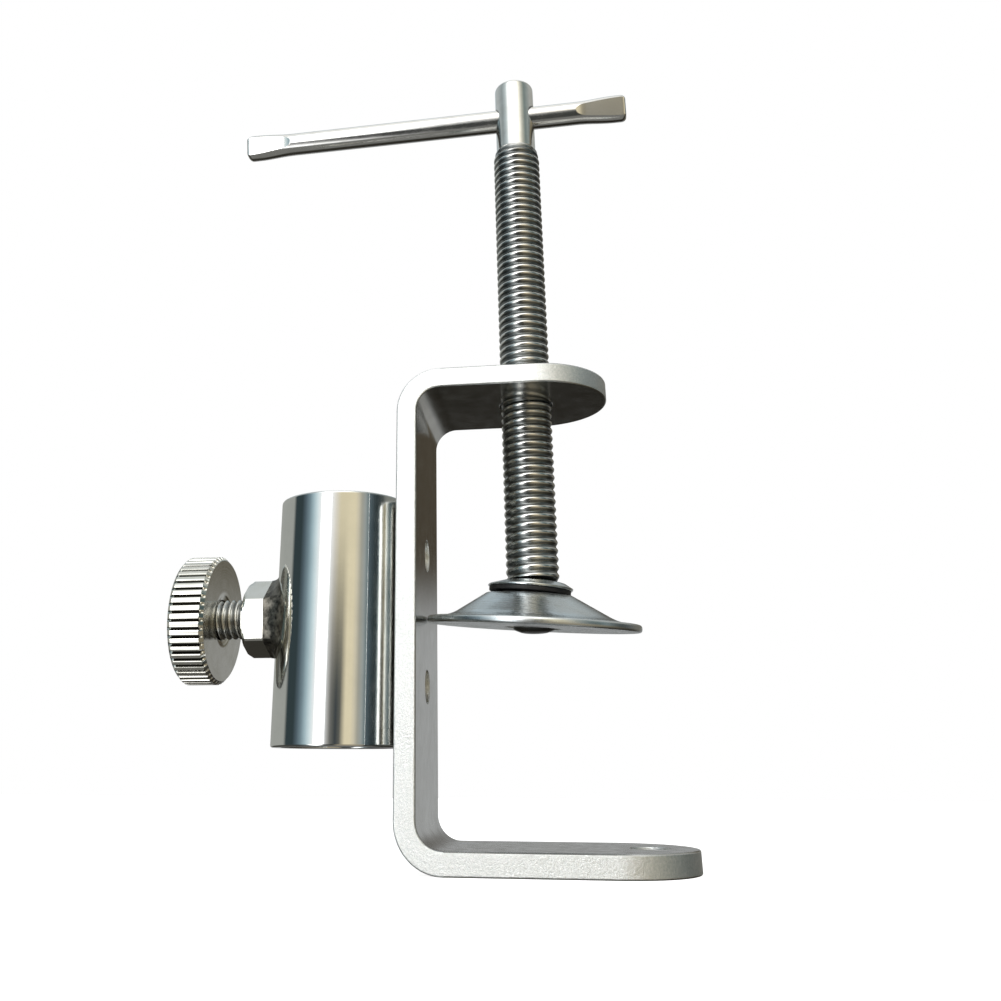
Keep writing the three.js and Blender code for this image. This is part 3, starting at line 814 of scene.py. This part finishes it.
def knob():
    """A wheel with straight flutes that run out through its chamfers, and a turned inner face."""
    per_flute = 10
    sides = FLUTES * per_flute
    angles = np.arange(sides) / sides * TURN
    rim = (knob_high[1] - knob_low[1]) / 2 - 0.02
    outer, inner = knob_low[0], knob_high[0]
    phase = (angles * FLUTES / TURN) % 1
    groove = smooth((np.abs(phase - 0.5) - 0.26) / 0.2)
    chamfer = KNOB_CHAMFER
    face = rim - chamfer
    # Each row: radius, place along X, share of the flutes' depth.
    rows = [(0.5, outer + 0.25, 0), (face - 1.2, outer + 0.22, 0), (face - 0.35, outer + 0.05, 0),
            (face - 0.12, outer, 0), (face, outer + 0.01, 0)]
    for t in np.linspace(0, 1, 6):
        rows.append((face + chamfer * t, outer + chamfer * t, t))
    for x in np.linspace(outer + chamfer, inner - chamfer, 12)[1:-1]:
        rows.append((rim, x, 1))
    for t in np.linspace(1, 0, 6):
        rows.append((face + chamfer * t, inner - chamfer * t, t))
    rows += [(face - 0.1, inner, 0), (face - 0.6, inner, 0), (KNOB_STEP + 0.5, inner, 0),
             (KNOB_STEP + 0.04, inner, 0), (KNOB_STEP, inner - 0.02, 0), (KNOB_STEP - 0.3, inner - 0.22, 0),
             (KNOB_BORE + 0.04, inner - 0.26, 0), (KNOB_BORE, inner - 0.3, 0),
             (KNOB_BORE, inner - KNOB_BORE_DEPTH, 0)]
    rings = [about_x(r - FLUTE_DEPTH * groove * share, x, angles) for r, x, share in rows]
    return sweep("thumbscrew_knob_wheel", rings)


def paddle_section(width, thickness, press):
    """The tommy bar's section, pressed flat above and below, with a point on each ridge."""
    edge = math.asin(min(press / thickness, 0.999))
    side = np.linspace(-edge, edge, 19)
    right = [(width * math.cos(a), thickness * math.sin(a)) for a in side]
    run = width * math.cos(edge)
    flat = [(x, press if edge < 1.5 else thickness * math.sqrt(max(1 - (x / width) ** 2, 0)))
            for x in np.linspace(run, -run, 9)[1:-1]]
    half = right + flat
    return half + [(-x, -z) for x, z in half]


def tommy_bar():
    """A round bar whose two ends are pressed flat, each at its own angle."""
    long_start, short_start = -LONG_END + PADDLE_LENGTH, SHORT_END - PADDLE_LENGTH
    bite, tip, spread = 1.8, 0.85, 6.5
    end = PADDLE_LENGTH - tip * (1 - np.sin(np.linspace(0, math.pi / 2, 10)))
    steps = np.concatenate([np.linspace(0.001, 1, 16) ** 2 * bite, np.linspace(bite, end[0], 14)[1:-1], end])
    rings = []

    def ring(x, tilt, distance):
        share = distance / PADDLE_LENGTH
        sunk = 0.4 * (1 - (1 - min(distance / bite, 1)) ** 2) + 0.6 * share
        width = BAR_RADIUS + (PADDLE_HALF_WIDTH - BAR_RADIUS) * smooth(distance / spread)
        press = BAR_RADIUS - (BAR_RADIUS - PADDLE_HALF_THICKNESS) * sunk
        left = PADDLE_LENGTH - distance
        if distance > 0 and left < tip:
            round_off = 1 - math.sqrt(max(1 - (1 - left / tip) ** 2, 0))
            width -= 0.8 * round_off
            press -= 0.3 * round_off ** 2
        points = []
        for across, up in paddle_section(width, BAR_RADIUS, press):
            y = across * math.cos(tilt) - up * math.sin(tilt)
            z = across * math.sin(tilt) + up * math.cos(tilt)
            points.append((x, y, z))
        return points

    # The flats face -Y, tilted down, so the section's thickness lies near Y.
    upright = math.pi / 2
    for distance in steps[::-1]:
        rings.append(ring(long_start - distance, upright + LONG_TILT, distance))
    middle = np.linspace(long_start, short_start, 14)[1:-1]
    for x in middle:
        share = (x - long_start) / (short_start - long_start)
        tilt = upright + LONG_TILT + (SHORT_TILT - LONG_TILT) * smooth(share)
        rings.append(ring(x, tilt, 0))
    for distance in steps:
        rings.append(ring(short_start + distance, upright + SHORT_TILT, distance))
    bar = sweep("tommy_bar_rod", rings)
    return place(bar, (0, 0, TOMMY_TURN), (0, 0, TOMMY_HEIGHT))


def pad_seat():
    profile = [[BALL_BORE, (BALL_TOP + BALL_BOTTOM) / 2], [BALL_BORE, BALL_BOTTOM]]
    profile += zone(BALL_RADIUS, BALL_BOTTOM, BALL_TOP, 16)
    profile += [[BALL_BORE, BALL_TOP]]
    return place(lathe("pad_seat_ball", profile, 72, ring_closed=True), offset=(0, 0, PIVOT))


def lean(piece, still, moved, offset, band):
    """Shifts a turned skin sideways between two heights. Points inside the band's radius stay."""
    for vertex in piece.data.vertices:
        x, y, z = vertex.co / MM
        outer = smooth((math.hypot(x, y) - band[0]) / (band[1] - band[0]))
        vertex.co.x += offset * MM * float(outer * smooth((z - still) / (moved - still)))


def tilted(piece, tilt):
    return place(piece, (tilt[0], tilt[1], 0), (0, 0, PIVOT), "ZXY")


def pad_collar():
    seat_top = math.sqrt(SOCKET_RADIUS ** 2 - COLLAR_BORE ** 2)
    shape = [[(COLLAR_RADIUS + 4.5) / 2, COLLAR_BOTTOM], [COLLAR_RADIUS, COLLAR_BOTTOM],
             [COLLAR_RADIUS, COLLAR_LIP], [COLLAR_TOP_RADIUS, COLLAR_TOP], [COLLAR_BORE, COLLAR_TOP],
             [COLLAR_BORE, seat_top]]
    profile = rounded(shape, COLLAR_ROUND, 4)
    profile += zone(SOCKET_RADIUS, COLLAR_BOTTOM, seat_top, 5)[::-1][1:]
    ring = lathe("pad_collar_ring", profile, 96, ring_closed=True)
    lean(ring, COLLAR_TOP, COLLAR_BOTTOM, COLLAR_LEAN, (COLLAR_TOP_RADIUS, COLLAR_RADIUS))
    return tilted(ring, COLLAR_TILT)


def pad_seal():
    """A dark ring that closes the gap under the collar."""
    outline = [[SEAL_BORE, (SEAL_BOTTOM + COLLAR_BOTTOM) / 2], [SEAL_BORE, SEAL_BOTTOM],
               [SEAL_RADIUS, SEAL_BOTTOM], [SEAL_RADIUS, COLLAR_BOTTOM - FIT_GAP],
               [SEAL_BORE, COLLAR_BOTTOM - FIT_GAP], [SEAL_BORE, (SEAL_BOTTOM + COLLAR_BOTTOM) / 2]]
    ring = lathe("pad_seal_ring", rounded(outline, SEAL_ROUND, 3)[:-1], 96, ring_closed=True)
    for vertex in ring.data.vertices:
        vertex.co.x += COLLAR_LEAN * MM
    return tilted(ring, COLLAR_TILT)


def pad_dish():
    """A turned cone that flares to a thin round rim, with a recess below for the screw's end."""
    outline = [[DISH_RECESS + 0.15, DISH_BOTTOM], [DISH_RADIUS, DISH_BOTTOM], [DISH_RADIUS, DISH_RIM_TOP],
               [DISH_FLANGE, DISH_FLANGE_TOP], [DISH_TOP_RADIUS, DISH_TOP], [SOCKET_RADIUS - 0.1, DISH_TOP]]
    profile = [[DISH_BORE, DISH_RECESS_FLOOR], [DISH_RECESS - 0.05, DISH_RECESS_FLOOR],
               [DISH_RECESS, DISH_RECESS_FLOOR - 0.05], [DISH_RECESS, DISH_BOTTOM + 0.15],
               [DISH_RECESS + 0.05, DISH_BOTTOM + 0.05]]
    profile += soft_corners(outline, (DISH_RIM_ROUND, DISH_RIM_ROUND, DISH_FLANGE_ROUND, DISH_TOP_ROUND))
    profile += zone(SOCKET_RADIUS, DISH_FLOOR, DISH_TOP, 12)[::-1]
    profile += [[DISH_BORE, DISH_FLOOR]]
    cone = lathe("pad_dish_cone", profile, 144, ring_closed=True)
    lean(cone, DISH_RIM_TOP, DISH_TOP, DISH_LEAN, (SOCKET_RADIUS, DISH_TOP_RADIUS))
    return tilted(cone, DISH_TILT)


thread_top = PIVOT + THREAD_END + SCREW_TURNS * SCREW_PITCH
nickel_screw = bright_nickel("nickel_screw", SCREW_CREST - 0.14, SCREW_CREST - 0.02, top=thread_top)
nickel_stud = bright_nickel("nickel_stud", STUD_ROOT, STUD_CREST - 0.1, ("Y", "Z"), (0, THUMB_HEIGHT))
nickel = bright_nickel("nickel", warm=0.6)
nickel_bar = bright_nickel("nickel_bar")
weld = weld_metal()

finish_piece(bent_bar(), "c_frame", "frame", satin_plate(), sharp=20)
finish_piece(socket_tube(), "socket_tube", "frame", mirror_chrome())
for index, node in enumerate(("lower_plug_weld", "upper_plug_weld")):
    puddle = plug_weld(node + "_puddle", PLUG_HEIGHTS[index], FIRST_SEED + index)
    finish_piece(puddle, node, "frame", weld)
finish_piece(hex_boss(), "hex_boss", "frame", nickel, sharp=22)
# The seam's dark finish is painted shade of the crevice.
finish_piece(boss_weld(), "boss_weld", "frame", seam_shade_finish())
finish_piece(thumbscrew_stud(), "thumbscrew_stud", "stud", nickel_stud, sharp=60)
finish_piece(knob(), "thumbscrew_knob", "knob",
             turned_nickel("nickel_knob", THUMB_HEIGHT, knob_high[1], knob_low[0] + KNOB_CHAMFER,
                           knob_high[0] - KNOB_CHAMFER), sharp=40)
finish_piece(clamp_screw(), "clamp_screw", "screw", nickel_screw, sharp=60)
finish_piece(tommy_bar(), "tommy_bar", "handle", nickel_bar, sharp=24)
# The seat's near-black finish is painted shade.
finish_piece(pad_seat(), "pad_seat", "ball_seat", seat_shade_steel())
finish_piece(pad_collar(), "pad_collar", "collar",
             turned_steel("turned_collar", (0, 0, PIVOT), COLLAR_TILT))
seal = finish_piece(pad_seal(), None, "collar", near_black_ring())
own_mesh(seal)
finish_piece(pad_dish(), "pad_dish", "pad",
             turned_steel("turned_dish", (0, 0, PIVOT), DISH_TILT))


# ---- Studio ----

def studio_floor():
    """A pale sheet that the clamp stands on. The metal doesn't reflect it."""
    half, low = 0.35, cad_low[2]
    floor = mesh_piece("studio_floor", np.array(
        [(-half, -half, low), (half, -half, low), (half, half, low), (-half, half, low)]) / MM,
        [(0, 1, 2, 3)])
    material = bpy.data.materials.new("pale_floor")
    material.use_nodes = True
    shader = material.node_tree.nodes["Principled BSDF"]
    shader.inputs["Base Color"].default_value = (0.9, 0.9, 0.9, 1)
    shader.inputs["Roughness"].default_value = 0.9
    shader.inputs["Emission Color"].default_value = (1, 1, 1, 1)
    shader.inputs["Emission Strength"].default_value = 0.8
    floor.data.materials.append(material)
    floor.visible_glossy = False
    floor.visible_diffuse = False


def studio_world():
    """Soft light from all round: bright in front and above, dim behind and below."""
    world = bpy.data.worlds.new("studio")
    bpy.context.scene.world = world
    world.use_nodes = True
    tree = world.node_tree
    tree.nodes.clear()

    def node(kind, **settings):
        made = tree.nodes.new(kind)
        for key, value in settings.items():
            setattr(made, key, value)
        return made

    def link(source, target):
        tree.links.new(source, target)

    def calc(operation, *values):
        made = node("ShaderNodeMath", operation=operation)
        for socket, value in zip(made.inputs, values):
            if isinstance(value, (int, float)):
                socket.default_value = value
            else:
                link(value, socket)
        return made.outputs[0]

    def ramp(factor, stops):
        made = node("ShaderNodeValToRGB")
        points = made.color_ramp.elements
        while len(points) < len(stops):
            points.new(0.5)
        for point, (position, colour) in zip(points, stops):
            point.position = position
            point.color = (*colour, 1)
        link(factor, made.inputs[0])
        return made.outputs[0]

    def mixed(factor, first, second):
        made = node("ShaderNodeMix", data_type="RGBA")
        link(factor, made.inputs["Factor"])
        link(first, made.inputs[6])
        link(second, made.inputs[7])
        return made.outputs[2]

    def between(value, low, high):
        made = node("ShaderNodeMapRange", interpolation_type="SMOOTHSTEP")
        made.inputs["From Min"].default_value = low
        made.inputs["From Max"].default_value = high
        link(value, made.inputs["Value"])
        return made.outputs["Result"]

    apart = node("ShaderNodeSeparateXYZ")
    link(node("ShaderNodeTexCoord").outputs["Generated"], apart.inputs[0])
    x, y, z = apart.outputs
    # Azimuth from -Y towards +X, as a share of a turn with -Y in the middle.
    azimuth = calc("ARCTAN2", x, calc("MULTIPLY", y, -1))
    around = calc("ADD", calc("DIVIDE", azimuth, TURN), 0.5)
    height = calc("DIVIDE", calc("ARCSINE", z), math.pi / 2)

    def stop(degrees, *colour):
        return (degrees / 360 + 0.5, colour)

    brown = (0.066, 0.054, 0.038)
    grey = (0.365, 0.375, 0.35)
    teal = (0.035, 0.052, 0.057)
    white = (1.0, 1.0, 1.0)
    bright = (4.5, 4.5, 4.5)
    cream = (0.79, 0.70, 0.49)
    band = ramp(around, [
        stop(-180, *brown), stop(-166, *brown), stop(-150, *grey), stop(-93, *grey), stop(-86, *teal),
        stop(-70, *teal), stop(-62, 0.088, 0.125, 0.15), stop(-53, 0.2, 0.28, 0.32),
        stop(-45, 0.42, 0.55, 0.6), stop(-37, 0.72, 0.84, 0.87), stop(-30, *white), stop(-26, *bright),
        stop(-15, *bright), stop(-10, *white), stop(-2, 0.85, 0.8, 0.7), stop(6, *cream), stop(32, *cream),
        stop(38, 0.66, 0.6, 0.46), stop(44, 0.4, 0.39, 0.33), stop(51, 0.34, 0.37, 0.36),
        stop(56, 0.18, 0.23, 0.24), stop(68, 0.07, 0.105, 0.11), stop(76, 0.08, 0.12, 0.12),
        stop(84, 0.27, 0.32, 0.32), stop(92, 0.14, 0.17, 0.17), stop(104, 0.02, 0.027, 0.027),
        stop(118, 0.09, 0.1, 0.105), stop(140, 0.2, 0.19, 0.16), stop(158, 0.16, 0.15, 0.12),
        stop(167, *brown), stop(180, *brown)])
    above = ramp(around, [
        stop(-180, 0.45, 0.53, 0.57), stop(-120, 0.5, 0.54, 0.55), stop(-75, 0.32, 0.37, 0.38),
        stop(-50, 0.6, 0.68, 0.7), stop(-30, 1.8, 1.8, 1.8), stop(5, 2.3, 2.3, 2.25),
        stop(25, 1.5, 1.45, 1.3),
        stop(45, 0.6, 0.6, 0.52), stop(65, 0.2, 0.25, 0.24), stop(85, 0.3, 0.34, 0.33),
        stop(110, 0.45, 0.46, 0.44), stop(150, 0.42, 0.42, 0.39), stop(180, 0.45, 0.53, 0.57)])
    below = ramp(around, [
        stop(-180, 0.02, 0.018, 0.014), stop(-120, 0.06, 0.058, 0.05), stop(-60, 0.05, 0.06, 0.06),
        stop(-44, 0.2, 0.25, 0.27), stop(-36, 2.0, 2.05, 2.05), stop(-26, 2.0, 2.0, 2.0),
        stop(-19, 0.06, 0.06, 0.06),
        stop(3, 0.045, 0.05, 0.045), stop(12, 0.3, 0.26, 0.19), stop(40, 0.38, 0.33, 0.24),
        stop(90, 0.2, 0.18, 0.13), stop(120, 0.05, 0.045, 0.035), stop(180, 0.02, 0.018, 0.014)])
    # A dark object stands low in front.
    front = ramp(around, [
        stop(-16, 0, 0, 0), stop(-2, 0.85, 0.85, 0.85), stop(7, 1, 1, 1), stop(14, 0.9, 0.9, 0.9),
        stop(23, 0, 0, 0)])
    shade = calc("MULTIPLY", front, between(height, 0.17, 0.03))
    dark = node("ShaderNodeRGB")
    dark.outputs[0].default_value = (0.05, 0.06, 0.066, 1)
    zenith = node("ShaderNodeRGB")
    zenith.outputs[0].default_value = (1.0, 1.0, 0.98, 1)
    horizon = node("ShaderNodeRGB")
    horizon.outputs[0].default_value = (0.4, 0.41, 0.41, 1)
    behind = ramp(around, [stop(-165, 1, 1, 1), stop(-150, 0, 0, 0), stop(150, 0, 0, 0), stop(165, 1, 1, 1)])
    nadir = node("ShaderNodeRGB")
    nadir.outputs[0].default_value = (0.19, 0.19, 0.18, 1)
    light = mixed(shade, band, dark.outputs[0])
    light = mixed(calc("MULTIPLY", behind, between(height, 0.12, 0.07)), light, horizon.outputs[0])
    light = mixed(between(height, 0.2, 0.42), light, above)
    light = mixed(between(height, 0.62, 0.85), light, zenith.outputs[0])
    light = mixed(between(height, -0.05, -0.18), light, below)
    light = mixed(between(height, -0.57, -0.68), light, nadir.outputs[0])
    lit = node("ShaderNodeBackground")
    link(light, lit.inputs["Color"])
    seen = node("ShaderNodeBackground")
    seen.inputs["Color"].default_value = (1, 1, 1, 1)
    choose = node("ShaderNodeMixShader")
    link(node("ShaderNodeLightPath").outputs["Is Camera Ray"], choose.inputs[0])
    link(lit.outputs[0], choose.inputs[1])
    link(seen.outputs[0], choose.inputs[2])
    output = node("ShaderNodeOutputWorld")
    link(choose.outputs[0], output.inputs["Surface"])


def camera():
    """Close to the clamp and low, looking up at it."""
    made = bpy.data.objects.new("camera", bpy.data.cameras.new("camera"))
    bpy.context.scene.collection.objects.link(made)
    made.location = Vector(CAMERA_PLACE) * MM
    yaw = Matrix.Rotation(CAMERA_YAW, 3, "Z")
    pitch = Matrix.Rotation(math.pi / 2 + CAMERA_PITCH, 3, "X")
    roll = Matrix.Rotation(CAMERA_ROLL, 3, "Z")
    made.rotation_euler = (yaw @ pitch @ roll).to_euler()
    made.data.sensor_fit = "HORIZONTAL"
    made.data.sensor_width = SENSOR
    made.data.lens = LENS
    made.data.shift_x, made.data.shift_y = LENS_SHIFT
    made.data.clip_start = 1 * MM
    made.data.clip_end = 10
    bpy.context.scene.camera = made


studio_floor()
studio_world()
camera()
view = bpy.context.scene.view_settings
view.view_transform = "Standard"
